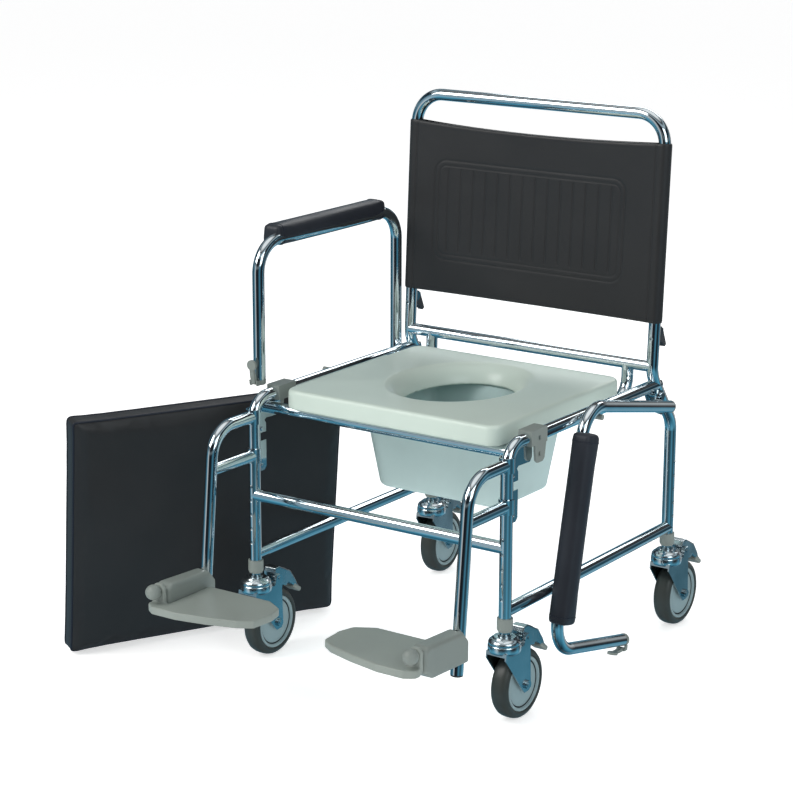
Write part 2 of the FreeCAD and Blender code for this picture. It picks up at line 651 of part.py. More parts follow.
def make_lever_ears(tube):
    """Two ears and a pin behind each upright, for the release levers to turn on."""
    pieces = []
    for name, sign in SIDES:
        x = side(sign, "dims.track")
        core = straight_tube(name + "_back_core", "XY_Plane", x, "0", "0", "70", bore=None)
        for face in (-1, 1):
            ear = plate("%s_lever_ear%d" % (name, face + 1), x + " + %g" % (6.7 * face), "2",
                        [("4", "24"), ("14", "28"), ("21", "36"), ("20", "42"), ("14", "44"), ("4", "44")])
            pieces.append(cope(ear, [core]))
        pieces.append(rod(name + "_lever_pin", x + " - 5.6", "dims.lever_y", "dims.lever_z", "4", "11.2"))
    return pieces


def make_cover(seat):
    """Slung cover: a web between two sleeves that slip over the uprights."""
    cover = new_body("cover_body")
    section = new_sketch(cover, "cover_section", "XY_Plane", ("0", "0", "dims.cover_start"))
    wide, inner = "dims.cover_half_width", "dims.track - 18"
    deep, web = "dims.cover_depth / 2", "dims.cover_depth / 2 - dims.cover_web"
    draw_outline(section, [("-(%s)" % wide, "-(%s)" % deep), (wide, "-(%s)" % deep), (wide, deep),
                           (inner, deep), ("(%s) - 12" % inner, "-(%s)" % web),
                           ("-(%s) + 12" % inner, "-(%s)" % web), ("-(%s)" % inner, deep),
                           ("-(%s)" % wide, deep)])
    for name, sign in SIDES:
        draw_circle(section, "dims.tube_od + 0.4", side(sign, "dims.track"), "0")
    pad(cover, section, "dims.cover_length")
    finish(cover, "back_cover", seat)


def make_back_button(name, sign, seat):
    """Spring button in the post's spigot, which locks the back tube."""
    button = new_body(name + "_back_button_body")
    spot = new_sketch(button, name + "_back_button_disc", "XZ_Plane",
                      (side(sign, "dims.track"), "dims.button_rise", "3"))
    draw_circle(spot, "6.25")
    pad(button, spot, "5.7")
    finish(button, name + "_back_button", seat)


def make_back_lever(name, sign, seat):
    """Triangular release lever on two ears behind the back tube."""
    lever = new_body(name + "_back_lever_body")
    shape = new_sketch(lever, name + "_lever_shape", "YZ_Plane", ("0", "0", side(sign, "dims.track")))
    draw_outline(shape, [("13", "41"), ("18", "45"), ("24", "38"), ("38", "10"), ("33", "6"), ("22", "16"),
                         ("12", "20")])
    pad(lever, shape, "11", both=True)
    bore = new_sketch(lever, name + "_lever_bore", "YZ_Plane", ("0", "0", side(sign, "dims.track")))
    draw_circle(bore, "4.1", "dims.lever_y", "dims.lever_z")
    pocket(lever, bore, "40")
    finish(lever, name + "_back_lever", seat)


# ---------------------------------------------------------------- armrests

def make_armrest(name, sign):
    """Built raised; the right-hand one is then dropped on to its peg."""
    drop = size_of("dims.drop_angle") if sign > 0 else 0
    pivot = Vector(0, size_of("dims.pivot_y"), size_of("dims.pivot_z"))
    place = Placement(Vector(), Rotation(Vector(1, 0, 0), drop), pivot)
    x = side(sign, "dims.arm_x")
    tube = bent_tube(name + "_arm_tube", x, ("dims.arm_rear_y", "dims.arm_cap_z"),
                     [("dims.arm_rear_y", "dims.arm_cap_z"), ("dims.arm_rear_y", "dims.arm_top_z"),
                      ("dims.arm_front_y", "dims.arm_top_z"), ("dims.arm_front_y", "dims.arm_front_z")],
                     "dims.arm_bend")
    ear = plate(name + "_arm_ear", side(sign, "dims.arm_x - 12"), "3",
                [("dims.arm_rear_y", "dims.pivot_z - 13"), ("dims.pivot_y", "dims.pivot_z - 13"),
                 ("dims.pivot_y + 10", "dims.pivot_z - 8"), ("dims.pivot_y + 10", "dims.pivot_z + 8"),
                 ("dims.pivot_y", "dims.pivot_z + 13"), ("dims.arm_rear_y", "dims.pivot_z + 22")])
    bore = new_sketch(ear, name + "_ear_bore", "YZ_Plane",
                      ("dims.pivot_y", "dims.pivot_z", side(sign, "dims.arm_x - 12")))
    draw_circle(bore, "7.1")
    pocket(ear, bore, "20")
    inside = straight_tube(name + "_arm_bore", "XY_Plane", x, "dims.arm_rear_y", "dims.arm_cap_z - 5",
                           "120", bore=None, outer="dims.tube_id")
    whole = doc.addObject("Part::Fuse", name + "_arm_fused")
    whole.Base = tube
    whole.Tool = cope(ear, [inside])
    finish(whole, name + "_armrest_tube", place)
    core = bent_tube(name + "_arm_core", x, ("dims.arm_rear_y", "dims.arm_cap_z"),
                     [("dims.arm_rear_y", "dims.arm_cap_z"), ("dims.arm_rear_y", "dims.arm_top_z"),
                      ("dims.arm_front_y", "dims.arm_top_z"), ("dims.arm_front_y", "dims.arm_front_z")],
                     "dims.arm_bend", bore=None)
    make_arm_pad(name, sign, place, core)
    make_arm_caps(name, sign, place)
    make_arm_latch(name, sign, place)


def make_arm_pad(name, sign, place, core):
    """Moulded pad with chamfered shoulders, set outboard of the tube that runs through it."""
    body = new_body(name + "_arm_pad_body")
    section = new_sketch(body, name + "_pad_section", "XZ_Plane", (side(sign, "dims.pad_x"), "0", "-dims.pad_front"))
    half, low, high = "dims.pad_half", "dims.pad_low", "dims.pad_high"
    draw_outline(section, [("-(%s) + 4" % half, low), (half + " - 4", low), (half, low + " + 5"),
                           (half, high + " - 16"), (half + " - 10", high), ("-(%s) + 10" % half, high),
                           ("-(%s)" % half, high + " - 16"), ("-(%s)" % half, low + " + 5")])
    pad(body, section, "dims.pad_length", back=True)
    finish(cope(body, [core]), name + "_armrest_pad", place)


def make_arm_caps(name, sign, place):
    """Plastic plugs in both ends of the tube; the front one carries the latch's cheeks."""
    x = side(sign, "dims.arm_x")
    rear = new_body(name + "_rear_cap")
    plug = new_sketch(rear, name + "_rear_plug", "XZ_Plane", (x, "dims.arm_cap_z", "-dims.arm_rear_y"))
    draw_outline(plug, [("0", "-4"), ("9", "-4"), ("11.4", "-1.5"), ("11.4", "-0.02"), ("9.55", "-0.02"),
                        ("9.55", "14"), ("0", "14")])
    revolve(rear, plug)
    front = new_body(name + "_front_cap")
    stop = new_sketch(front, name + "_front_plug", "XZ_Plane", (x, "dims.arm_front_z", "-dims.arm_front_y"))
    draw_outline(stop, [("0", "-9"), ("10", "-9"), ("11.4", "-7"), ("11.4", "-0.02"), ("9.55", "-0.02"),
                        ("9.55", "14"), ("0", "14")])
    revolve(front, stop)
    for n, face in enumerate((-1, 1)):
        cheek = new_sketch(front, "%s_cheek%d" % (name, n), "YZ_Plane", ("0", "0", x + " + %g" % (7.5 * face)))
        draw_outline(cheek, [("dims.arm_front_y - 9", "dims.arm_front_z - 8.5"),
                             ("dims.arm_front_y - 18", "dims.arm_front_z - 8.5"),
                             ("dims.arm_front_y - 20", "dims.arm_front_z + 2"),
                             ("dims.arm_front_y - 12", "dims.arm_front_z - 0.02"),
                             ("dims.arm_front_y - 9", "dims.arm_front_z - 0.02")])
        pad(front, cheek, "2.5", both=True)
    pin = rod(name + "_latch_pin", x + " - 9.5", "dims.arm_front_y - 15.5", "dims.arm_front_z - 3", "3", "19")
    holes = new_sketch(front, name + "_cheek_holes", "YZ_Plane", ("0", "0", x))
    draw_circle(holes, "3", "dims.arm_front_y - 15.5", "dims.arm_front_z - 3")
    pocket(front, holes, "40")
    finish(join(name + "_caps", [rear, front, pin]), name + "_armrest_caps", place)


def make_arm_latch(name, sign, place):
    """Release lever in front of the post: a flat arm that ends in a thumb paddle."""
    x = side(sign, "dims.arm_x")
    lever = new_body(name + "_latch_body")
    strip = new_sketch(lever, name + "_latch_strip", "YZ_Plane", ("0", "0", x))
    y, z = "dims.arm_front_y", "dims.arm_front_z"
    draw_outline(strip, [(y + " - 19", z + " - 6"), (y + " - 14", z + " - 6"), (y + " - 13.5", z + " + 2"),
                         (y + " - 18", z + " + 14"), (y + " - 20", z + " + 26"), (y + " - 24", z + " + 26"),
                         (y + " - 23", z + " + 12")])
    pad(lever, strip, "9", both=True)
    paddle = new_sketch(lever, name + "_paddle", "XZ_Plane", (x, z + " + 30", "-(%s - 20)" % y))
    draw_circle(paddle, "19")
    pad(lever, paddle, "4.5")
    bore = new_sketch(lever, name + "_latch_bore", "YZ_Plane", ("0", "0", x))
    draw_circle(bore, "3.1", "dims.arm_front_y - 15.5", "dims.arm_front_z - 3")
    pocket(lever, bore, "40")
    finish(lever, name + "_armrest_latch", place)


# ---------------------------------------------------------------- footrests

def make_footrest(name, sign):
    """Hooked hanger tube with a brace and two saddles, hinge housing and folding plate."""
    x = side(sign, "dims.track")
    start = ("-8", "dims.hanger_top_z")
    tube = bent_tube(name + "_hanger_tube", x, start,
                     [start, ("dims.hanger_y", "dims.hanger_top_z"), ("dims.hanger_foot_y", "dims.hanger_foot_z")],
                     "dims.hanger_bend", along="y")
    core = bent_tube(name + "_hanger_core", x, start,
                     [start, ("dims.hanger_y", "dims.hanger_top_z"), ("dims.hanger_foot_y", "dims.hanger_foot_z")],
                     "dims.hanger_bend", bore=None, along="y")
    brace = straight_tube(name + "_brace_tube", "XZ_Plane", x, "dims.brace_z", "8", "112")
    saddles = []
    for n, height in enumerate(("dims.hanger_top_z", "dims.brace_z")):
        saddle = straight_tube("%s_saddle%d" % (name, n), "XY_Plane", x, "0", height + " - 13", "26",
                               bore="dims.saddle_bore", outer="dims.saddle_od")
        opening = new_sketch(saddle, "%s_saddle_open%d" % (name, n), "XY_Plane", (x, "0", "0"))
        draw_box(opening, "-20", "20", "3", "20")
        pocket(saddle, opening, "1200")
        saddles.append(saddle)
    shape = doc.addObject("Part::MultiFuse", name + "_hanger_fused")
    shape.Shapes = [tube, cope(brace, [core])] + saddles
    gap = straight_tube(name + "_saddle_gap", "XY_Plane", x, "0", "340", "150", bore=None, outer="dims.saddle_bore")
    finish(cope(shape, [gap]), name + "_footrest_hanger")
    make_footrest_hinge(name, sign, x, core)
    make_footplate(name, sign)


def make_footrest_hinge(name, sign, x, core):
    """Moulded housing clamped on the tube, with the hinge pin and its ball knob."""
    block = new_body(name + "_hinge_block")
    shape = new_sketch(block, name + "_block_shape", "YZ_Plane", ("0", "0", x))
    draw_outline(shape, [("-133", "156"), ("-133", "194"), ("-150", "214"), ("-250", "219"), ("-262", "213"),
                         ("-262", "176"), ("-236", "160")])
    pad(block, shape, "33", both=True)
    round_edges(block, "7", lambda edge: abs(abs(edge.BoundBox.Center.x - size_of(x)) - 16.5) < 0.1)
    bore = new_sketch(block, name + "_pin_bore", "XZ_Plane", (side(sign, "dims.hinge_x"), "dims.hinge_z", "200"))
    draw_circle(bore, "8")
    pocket(block, bore, "160")
    housing = cope(block, [core])
    pin = new_body(name + "_hinge_pin")
    spindle = new_sketch(pin, name + "_spindle", "XZ_Plane", (side(sign, "dims.hinge_x"), "dims.hinge_z", "162"))
    draw_circle(spindle, "8")
    pad(pin, spindle, "116")
    ball = new_sketch(pin, name + "_ball", "XY_Plane", (side(sign, "dims.hinge_x"), "-283", "dims.hinge_z"))
    knob = [("0", "-14"), ("6", "-12.6"), ("11", "-8.6"), ("13.6", "-3"), ("13.6", "3"), ("11", "8.6"),
            ("8", "10.5"), ("0", "10.5")]
    draw_outline(ball, knob)
    revolve(pin, ball)
    finish(join(name + "_hinge_set", [housing, pin]), name + "_footrest_hinge")


def make_footplate(name, sign):
    """Moulded plate with a bowed front edge and an ear in front of the housing."""
    body = new_body(name + "_footplate_body")
    outline = new_sketch(body, name + "_plate_outline", "XY_Plane", ("0", "0", "dims.plate_top - dims.plate_thick"))
    spots = [(248, -156), (112, -156), (78, -176), (70, -206), (74, -252), (98, -268), (150, -284),
             (210, -296), (262, -296), (280, -284), (280, -266), (248, -266)]
    draw_outline(outline, [("%d * %d" % (sign, px), "%d" % py) for px, py in spots])
    pad(body, outline, "dims.plate_thick")
    round_edges(body, "8", lambda edge: upright_at(edge, sign, (112, 78, 74, 98, 280)))
    ear = new_sketch(body, name + "_plate_ear", "XZ_Plane", (side(sign, "dims.hinge_x"), "dims.hinge_z", "263"))
    draw_outline(ear, [("%d * -14" % sign, "-30"), ("%d * 12" % sign, "-30"), ("%d * 12" % sign, "4"),
                       ("%d * 6" % sign, "12"), ("%d * -6" % sign, "12"), ("%d * -14" % sign, "4")])
    pad(body, ear, "9")
    bore = new_sketch(body, name + "_ear_hole", "XZ_Plane", (side(sign, "dims.hinge_x"), "dims.hinge_z", "262"))
    draw_circle(bore, "8.1")
    pocket(body, bore, "40")
    finish(body, name + "_footplate")


def upright_at(edge, sign, places):
    """True for the vertical edges that stand at one of the given distances from the middle."""
    box = edge.BoundBox
    return box.ZLength > 1 and box.XLength < 0.01 and any(abs(sign * box.Center.x - p) < 0.5 for p in places)


# ---------------------------------------------------------------- seat, pan and cushion

def make_seat():
    """Moulded board with a dished opening, hollow underneath round its rim."""
    body = new_body("seat_body")
    outline = new_sketch(body, "seat_outline", "XY_Plane", ("0", "0", "dims.seat_low"))
    draw_box(outline, "-dims.seat_half", "dims.seat_half", "dims.seat_front", "dims.seat_rear")
    pad(body, outline, "dims.seat_thick")
    round_edges(body, "26", lambda edge: edge.BoundBox.ZLength > 10)
    top = size_of("dims.seat_low + dims.seat_thick")
    round_edges(body, "7", lambda edge: abs(edge.BoundBox.ZMin - top) < 0.01)
    wide = new_sketch(body, "dish_top", "XY_Plane", ("0", "dims.hole_y", "dims.seat_low + dims.seat_thick + 0.5"))
    draw_ellipse(wide, "dims.dish_x", "dims.dish_y")
    middle = new_sketch(body, "dish_middle", "XY_Plane", ("0", "dims.hole_y", "dims.seat_low + dims.seat_thick - 7"))
    draw_ellipse(middle, "dims.dish_x - 18", "dims.dish_y - 18")
    low = new_sketch(body, "dish_bottom", "XY_Plane", ("0", "dims.hole_y", "dims.seat_low - 1"))
    draw_ellipse(low, "dims.hole_half_x", "dims.hole_half_y")
    doc.recompute()
    dish = body.newObject("PartDesign::SubtractiveLoft", "dish")
    dish.Profile = wide
    dish.Sections = [middle, low]
    doc.recompute()
    hollow = new_sketch(body, "seat_hollow", "XY_Plane", ("0", "dims.hole_y", "dims.seat_low"))
    draw_box(hollow, "-dims.seat_half + 24", "dims.seat_half - 24", "-206", "170")
    draw_ellipse(hollow, "dims.dish_x + 6", "dims.dish_y + 4")
    pocket(body, hollow, "dims.seat_thick - 8", both=False, back=True)
    for name, sign in SIDES:
        ledge = new_sketch(body, name + "_pan_ledge", "XZ_Plane", ("0", "dims.seat_low", "-dims.pan_y + 126"))
        draw_outline(ledge, [(side(sign, along), up) for along, up in
                             (("163", "-10"), ("178.5", "-10"), ("178.5", "29"), ("174.5", "29"),
                              ("174.5", "-6.2"), ("163", "-6.2"))])
        pad(body, ledge, "252", back=True)
    finish(body, "seat_board")


def rounded_box(sketch, half_x, half_y, radius):
    """A rectangle with round corners about the sketch's origin."""
    wide, tall, bend = size_of(half_x), size_of(half_y), size_of(radius)
    items = []
    for n, (sx, sy) in enumerate(((1, 1), (-1, 1), (-1, -1), (1, -1))):
        centre = Vector(sx * (wide - bend), sy * (tall - bend), 0)
        begin = math.radians(90 * n)
        corner = Part.ArcOfCircle(Part.Circle(centre, Vector(0, 0, 1), bend), begin, begin + math.pi / 2)
        items.append(sketch.addGeometry(corner))
        ends = (corner.EndPoint, None)
        turn = ((-sx, 0), (0, -sy))[n % 2]
        reach = 2 * (wide - bend) if n % 2 == 0 else 2 * (tall - bend)
        far = ends[0] + Vector(turn[0] * reach, turn[1] * reach, 0)
        items.append(sketch.addGeometry(Part.LineSegment(ends[0], far)))
    count = len(items)
    for n in range(count):
        sketch.addConstraint(Sketcher.Constraint("Coincident", items[n], 2, items[(n + 1) % count], 1))


def make_pan():
    """Tapered tub whose flange hangs on the two ledges under the seat board."""
    body = new_body("pan_body")
    rim = new_sketch(body, "pan_rim", "XY_Plane", ("0", "dims.pan_y", "dims.pan_high - 2.5"))
    rounded_box(rim, "172", "124", "34")
    pad(body, rim, "3")
    sections = (("dims.pan_low", "136", "92", "34"), ("dims.pan_high", "158", "112", "30"))
    loft_between(body, "PartDesign::AdditiveLoft", "tub", sections, "0", "0")
    round_edges(body, "11", lambda edge: abs(edge.BoundBox.ZMax - size_of("dims.pan_low")) < 0.01)
    loft_between(body, "PartDesign::SubtractiveLoft", "well", sections, "3", "0.5")
    finish(body, "commode_pan")


def loft_between(body, kind, name, sections, inset, lift):
    """Lofts between two rounded rectangles, each one inset by a wall."""
    sketches = []
    for n, (height, half_x, half_y, bend) in enumerate(sections):
        rise = (inset, lift)[n]
        sketch = new_sketch(body, "%s_section%d" % (name, n), "XY_Plane",
                            ("0", "dims.pan_y", "%s + %s" % (height, rise)))
        rounded_box(sketch, *("%s - %s" % (length, inset) for length in (half_x, half_y, bend)))
        sketches.append(sketch)
    loft = body.newObject(kind, name)
    loft.Profile = sketches[0]
    loft.Sections = [sketches[1]]
    doc.recompute()


def make_cushion():
    """Loose upholstered seat pad, stood on edge on the floor and leant on the side frame."""
    body = new_body("cushion_body")
    face = new_sketch(body, "cushion_face", "XZ_Plane")
    draw_box(face, "0", "dims.cushion_long", "0", "dims.cushion_tall")
    pad(body, face, "dims.cushion_thick", back=True)
    round_edges(body, "14", lambda edge: edge.BoundBox.YLength > 10)
    lean = Rotation(Vector(0, 0, 1), size_of("dims.cushion_yaw")) * Rotation(
        Vector(1, 0, 0), size_of("dims.cushion_lean"))
    spot = Vector(size_of("dims.cushion_x"), size_of("dims.cushion_y"), 0)
    finish(body, "seat_cushion", Placement(spot, lean))


def centre_on_footprint():
    """Moves every sub-part together, so that the origin is under the middle of the whole."""
    doc.recompute()
    whole = FreeCAD.BoundBox()
    for node in NODES:
        whole.add(node.Shape.BoundBox)
    shift = Placement(Vector(-whole.Center.x, -whole.Center.y, 0), Rotation())
    for node in NODES:
        node.Placement = shift * node.Placement
    print("chair axes stand at %.3f, %.3f mm" % (-whole.Center.x, -whole.Center.y))


def check_and_write():
    doc.recompute()
    for item in doc.Objects:
        if "Invalid" in item.State or "Error" in item.State:
            raise RuntimeError("%s is %s" % (item.Label, item.State))
    names = [node.Label for node in NODES]
    if len(set(names)) != len(names) or len(names) > 60:
        raise RuntimeError("labels repeat, or there are too many sub-parts")
    os.makedirs("parts", exist_ok=True)
    for node in NODES:
        if node.Shape.isNull() or not node.Shape.isValid():
            raise RuntimeError(node.Label + " has no valid shape")
        node.Shape.exportStep("parts/%s.step" % node.Label)


make_cores()
make_side_frames()
make_lower_frame()
make_seat_support()
make_leg_collars()
make_brackets()
make_receivers()
for corner_name, corner_sign, is_rear, castor_heading in CORNERS:
    make_caster(corner_name, corner_sign, is_rear, castor_heading)
make_back()
for side_name, side_sign in SIDES:
    make_armrest(side_name, side_sign)
    make_footrest(side_name, side_sign)
make_seat()
make_pan()
make_cushion()
centre_on_footprint()
check_and_write()
print("%d sub-parts written" % len(NODES))
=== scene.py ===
import json
import math

import bmesh
import bpy
import numpy as np
from mathutils import Matrix, Vector
from mathutils.bvhtree import BVHTree

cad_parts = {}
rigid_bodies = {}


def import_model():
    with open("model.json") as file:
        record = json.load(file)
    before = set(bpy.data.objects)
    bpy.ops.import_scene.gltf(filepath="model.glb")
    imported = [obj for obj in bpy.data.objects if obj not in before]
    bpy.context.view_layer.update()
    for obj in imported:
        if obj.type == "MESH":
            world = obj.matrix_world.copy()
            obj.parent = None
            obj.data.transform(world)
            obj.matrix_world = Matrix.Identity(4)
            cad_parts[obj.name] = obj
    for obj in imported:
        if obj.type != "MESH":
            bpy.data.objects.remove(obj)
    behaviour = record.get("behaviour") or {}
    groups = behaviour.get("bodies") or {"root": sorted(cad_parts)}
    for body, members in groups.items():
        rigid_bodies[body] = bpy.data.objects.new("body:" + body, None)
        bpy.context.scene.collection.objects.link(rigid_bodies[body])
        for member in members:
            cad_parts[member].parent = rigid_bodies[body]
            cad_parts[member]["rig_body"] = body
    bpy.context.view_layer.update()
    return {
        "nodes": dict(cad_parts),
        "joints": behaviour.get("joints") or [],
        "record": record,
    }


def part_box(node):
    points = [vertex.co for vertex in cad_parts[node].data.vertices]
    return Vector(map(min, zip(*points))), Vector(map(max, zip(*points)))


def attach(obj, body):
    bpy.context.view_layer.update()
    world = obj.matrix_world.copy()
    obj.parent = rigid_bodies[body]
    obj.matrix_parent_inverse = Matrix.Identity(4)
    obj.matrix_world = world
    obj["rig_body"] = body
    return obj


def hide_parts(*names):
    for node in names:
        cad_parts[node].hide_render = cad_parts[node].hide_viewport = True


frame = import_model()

# Looks for the wheeled commode chair. "Chair axes" are millimetres from the floor point midway
# between the front legs: X to the right as seen from the front, Y rearwards, Z up. Left and right
# in names are as seen from the front too. Sizes in millimetres are multiplied by MM where used.

MM = 0.001
JOINTS = {joint["name"]: joint for joint in frame["joints"]}
SLOTS = {part["node"]: part["material_slot"] for part in frame["record"]["subparts"]}
SIDES = (("left", -1), ("right", 1))
CORNERS = ("front_left", "front_right", "rear_left", "rear_right")
SIMULATED_FRAMES = 20


def middle(node):
    """Middle of a CAD node's box."""
    low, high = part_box(node)
    return (low + high) / 2


def extent(node):
    """Size of a CAD node's box."""
    low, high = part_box(node)
    return high - low


ORIGIN = (middle("front_left_leg") + middle("front_right_leg")) / 2
ORIGIN.z = 0.0


def at(x, y, z):
    """A point in chair axes, as a place in the frame."""
    return ORIGIN + Vector((x, y, z)) * MM


# ---------------------------------------------------------------- materials

def shader_nodes(name):
    """A new material with its node tree and its Principled shader."""
    material = bpy.data.materials.new(name)
    material.use_nodes = True
    tree = material.node_tree
    return material, tree, tree.nodes["Principled BSDF"]


def texture(tree, kind, scale, stretch=(1, 1, 1), **settings):
    """A procedural texture in object space, stretched by axis."""
    place = tree.nodes.new("ShaderNodeTexCoord")
    mapping = tree.nodes.new("ShaderNodeMapping")
    mapping.inputs["Scale"].default_value = stretch
    node = tree.nodes.new(kind)
    node.inputs["Scale"].default_value = scale
    for key, value in settings.items():
        node.inputs[key].default_value = value
    tree.links.new(place.outputs["Object"], mapping.inputs["Vector"])
    tree.links.new(mapping.outputs["Vector"], node.inputs["Vector"])
    return node.outputs["Distance"] if kind == "ShaderNodeTexVoronoi" else node.outputs[0]


def ramp(tree, source, stops):
    """Colours along a value, from (place, colour) stops."""
    node = tree.nodes.new("ShaderNodeValToRGB")
    elements = node.color_ramp.elements
    while len(elements) < len(stops):
        elements.new(0.5)
    for element, (place, colour) in zip(elements, stops):
        element.position = place
        element.color = (*colour, 1)
    tree.links.new(source, node.inputs["Fac"])
    return node.outputs["Color"]


def spread(tree, source, low, high, start=0.3, end=0.7):
    """A value that runs from start to end, brought to run from low to high."""
    node = tree.nodes.new("ShaderNodeMapRange")
    node.inputs["From Min"].default_value = start
    node.inputs["From Max"].default_value = end
    node.inputs["To Min"].default_value = low
    node.inputs["To Max"].default_value = high
    tree.links.new(source, node.inputs["Value"])
    return node.outputs["Result"]


def bump(tree, source, height, strength=1.0, after=None):
    """A relief of a height in metres, on top of the normal given by after."""
    node = tree.nodes.new("ShaderNodeBump")
    node.inputs["Distance"].default_value = height
    node.inputs["Strength"].default_value = strength
    tree.links.new(source, node.inputs["Height"])
    if after is not None:
        tree.links.new(after, node.inputs["Normal"])
    return node.outputs["Normal"]


def tone(colour, factor):
    """A colour made lighter or darker."""
    return tuple(min(1.0, channel * factor) for channel in colour)


def metal(name, colour, rough, streak, vary=0.06):
    """Plated or pressed steel: cloudy roughness, faint drawing lines and a little colour drift."""
    material, tree, shader = shader_nodes(name)
    shader.inputs["Metallic"].default_value = 1.0
    cloud = texture(tree, "ShaderNodeTexNoise", 14, Detail=5.0)
    base = ramp(tree, cloud, [(0.3, tone(colour, 1 - vary)), (0.7, tone(colour, 1 + vary))])
    tree.links.new(base, shader.inputs["Base Color"])
    tree.links.new(spread(tree, cloud, rough * 0.6, rough * 1.5), shader.inputs["Roughness"])
    fine = texture(tree, "ShaderNodeTexNoise", 900, (1, 1, 0.15), Detail=3.0)
    tree.links.new(bump(tree, fine, streak), shader.inputs["Normal"])
    return material


def plastic(name, colour, rough, grain, grain_scale=1400, vary=0.07, coat=0.0):
    """Moulded plastic: slight mottling and a fine spark-eroded grain."""
    material, tree, shader = shader_nodes(name)
    shader.inputs["Coat Weight"].default_value = coat
    shader.inputs["Coat Roughness"].default_value = 0.18
    cloud = texture(tree, "ShaderNodeTexNoise", 9, Detail=6.0)
    base = ramp(tree, cloud, [(0.3, tone(colour, 1 - vary)), (0.7, tone(colour, 1 + vary))])
    tree.links.new(base, shader.inputs["Base Color"])
    tree.links.new(spread(tree, cloud, rough * 0.9, rough * 1.12), shader.inputs["Roughness"])
    fine = texture(tree, "ShaderNodeTexNoise", grain_scale, Detail=2.0)
    tree.links.new(bump(tree, fine, grain), shader.inputs["Normal"])
    return material


def vinyl(name, colour, rough):
    """Upholstery vinyl: pebbled leather grain over slow waviness, paler where it has rubbed."""
    material, tree, shader = shader_nodes(name)
    shader.inputs["Specular IOR Level"].default_value = 0.38
    shader.inputs["Sheen Weight"].default_value = 0.02
    cloud = texture(tree, "ShaderNodeTexNoise", 6, Detail=7.0)
    base = ramp(tree, cloud, [(0.25, tone(colour, 0.86)), (0.6, colour), (0.8, tone(colour, 1.2))])
    tree.links.new(base, shader.inputs["Base Color"])
    tree.links.new(spread(tree, cloud, rough * 0.88, rough * 1.15), shader.inputs["Roughness"])
    wave = texture(tree, "ShaderNodeTexNoise", 22, Detail=2.0)
    slow = bump(tree, wave, 0.6 * MM)
    pebble = texture(tree, "ShaderNodeTexVoronoi", 720, Randomness=1.0)
    tree.links.new(bump(tree, pebble, 0.12 * MM, 0.7, slow), shader.inputs["Normal"])
    return material


MATERIALS = {
    "chrome_tube": metal("chrome", (0.72, 0.78, 0.81), 0.07, 0.000004),
    "zinc_steel": metal("zinc", (0.50, 0.55, 0.57), 0.22, 0.00002, 0.12),
    "bell_steel": metal("bell_plating", (0.72, 0.79, 0.82), 0.19, 0.000004),
    "blue_steel": metal("blued_steel", (0.50, 0.58, 0.61), 0.17, 0.00002, 0.14),
    "black_vinyl": vinyl("vinyl", (0.021, 0.021, 0.022), 0.43),
    "arm_vinyl": vinyl("navy_vinyl", (0.020, 0.023, 0.031), 0.43),
    "piping": vinyl("piping_vinyl", (0.011, 0.014, 0.024), 0.40),
    "seat_plastic": plastic("seat_moulding", (0.60, 0.70, 0.63), 0.33, 0.00003, 1100, 0.03, 0.15),
    "pan_plastic": plastic("pan_moulding", (0.52, 0.67, 0.66), 0.36, 0.00004, 1000, 0.05),
    "grey_plastic": plastic("grey_moulding", (0.215, 0.246, 0.228), 0.44, 0.00008),
    "plate_plastic": plastic("plate_moulding", (0.272, 0.306, 0.280), 0.44, 0.00008),
    "black_plastic": plastic("black_moulding", (0.030, 0.030, 0.033), 0.42, 0.00008),
    "grey_tyre": plastic("tyre_rubber", (0.036, 0.042, 0.038), 0.42, 0.00012, 900, 0.12),
    "hub_plastic": plastic("hub_moulding", (0.24, 0.33, 0.35), 0.36, 0.00005),
    # Painted shade: a near-black fill laid into grooves and openings where only shade falls.
    "painted_shade_gap": plastic("shadowed_moulding", (0.012, 0.013, 0.014), 0.6, 0.0001),
}


def finish_nodes():
    """Every CAD node takes its slot's material, apart from the castor forks."""
    for node, slot in SLOTS.items():
        slots = frame["nodes"][node].data.materials
        slots.clear()
        slots.append(MATERIALS["blue_steel" if node.endswith("caster_fork") else slot])


# ---------------------------------------------------------------- mesh helpers

def build(name, points, faces, material, body):
    """A new piece from points in metres, dressed and riding a body."""
    mesh = bpy.data.meshes.new(name)
    mesh.from_pydata([tuple(p) for p in points], [], faces)
    piece = bpy.data.objects.new(name, mesh)
    bpy.context.scene.collection.objects.link(piece)
    return dress(piece, material, body)


def dress(piece, material, body):
    """Material, smooth shading and body of a piece."""
    piece.data.materials.clear()
    piece.data.materials.append(MATERIALS[material])
    piece.data.polygons.foreach_set("use_smooth", [True] * len(piece.data.polygons))
    if body:
        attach(piece, body)
    return piece


def grid_faces(rows, columns, wrap=False):
    """Quads of a grid of points; wrap joins each row's last column to its first."""
    faces = []
    for row in range(rows - 1):
        for column in range(columns if wrap else columns - 1):
            after = (column + 1) % columns
            faces.append((row * columns + column, row * columns + after,
                          (row + 1) * columns + after, (row + 1) * columns + column))
    return faces


def lathe(name, profile, centre, axis, material, body, steps=72):
    """A closed turned shape: profile is (along, radius) in mm about an axis through centre."""
    axis = Vector(axis).normalized()
    side = axis.orthogonal().normalized()
    other = axis.cross(side)
    points = []
    for along, radius in profile:
        for step in range(steps):
            turn = 2 * math.pi * step / steps
            outward = side * math.cos(turn) + other * math.sin(turn)
            points.append(centre + (axis * along + outward * radius) * MM)
    faces = grid_faces(len(profile), steps, wrap=True)
    last = (len(profile) - 1) * steps
    faces.append(tuple(reversed(range(steps))))
    faces.append(tuple(range(last, last + steps)))
    return build(name, points, faces, material, body)


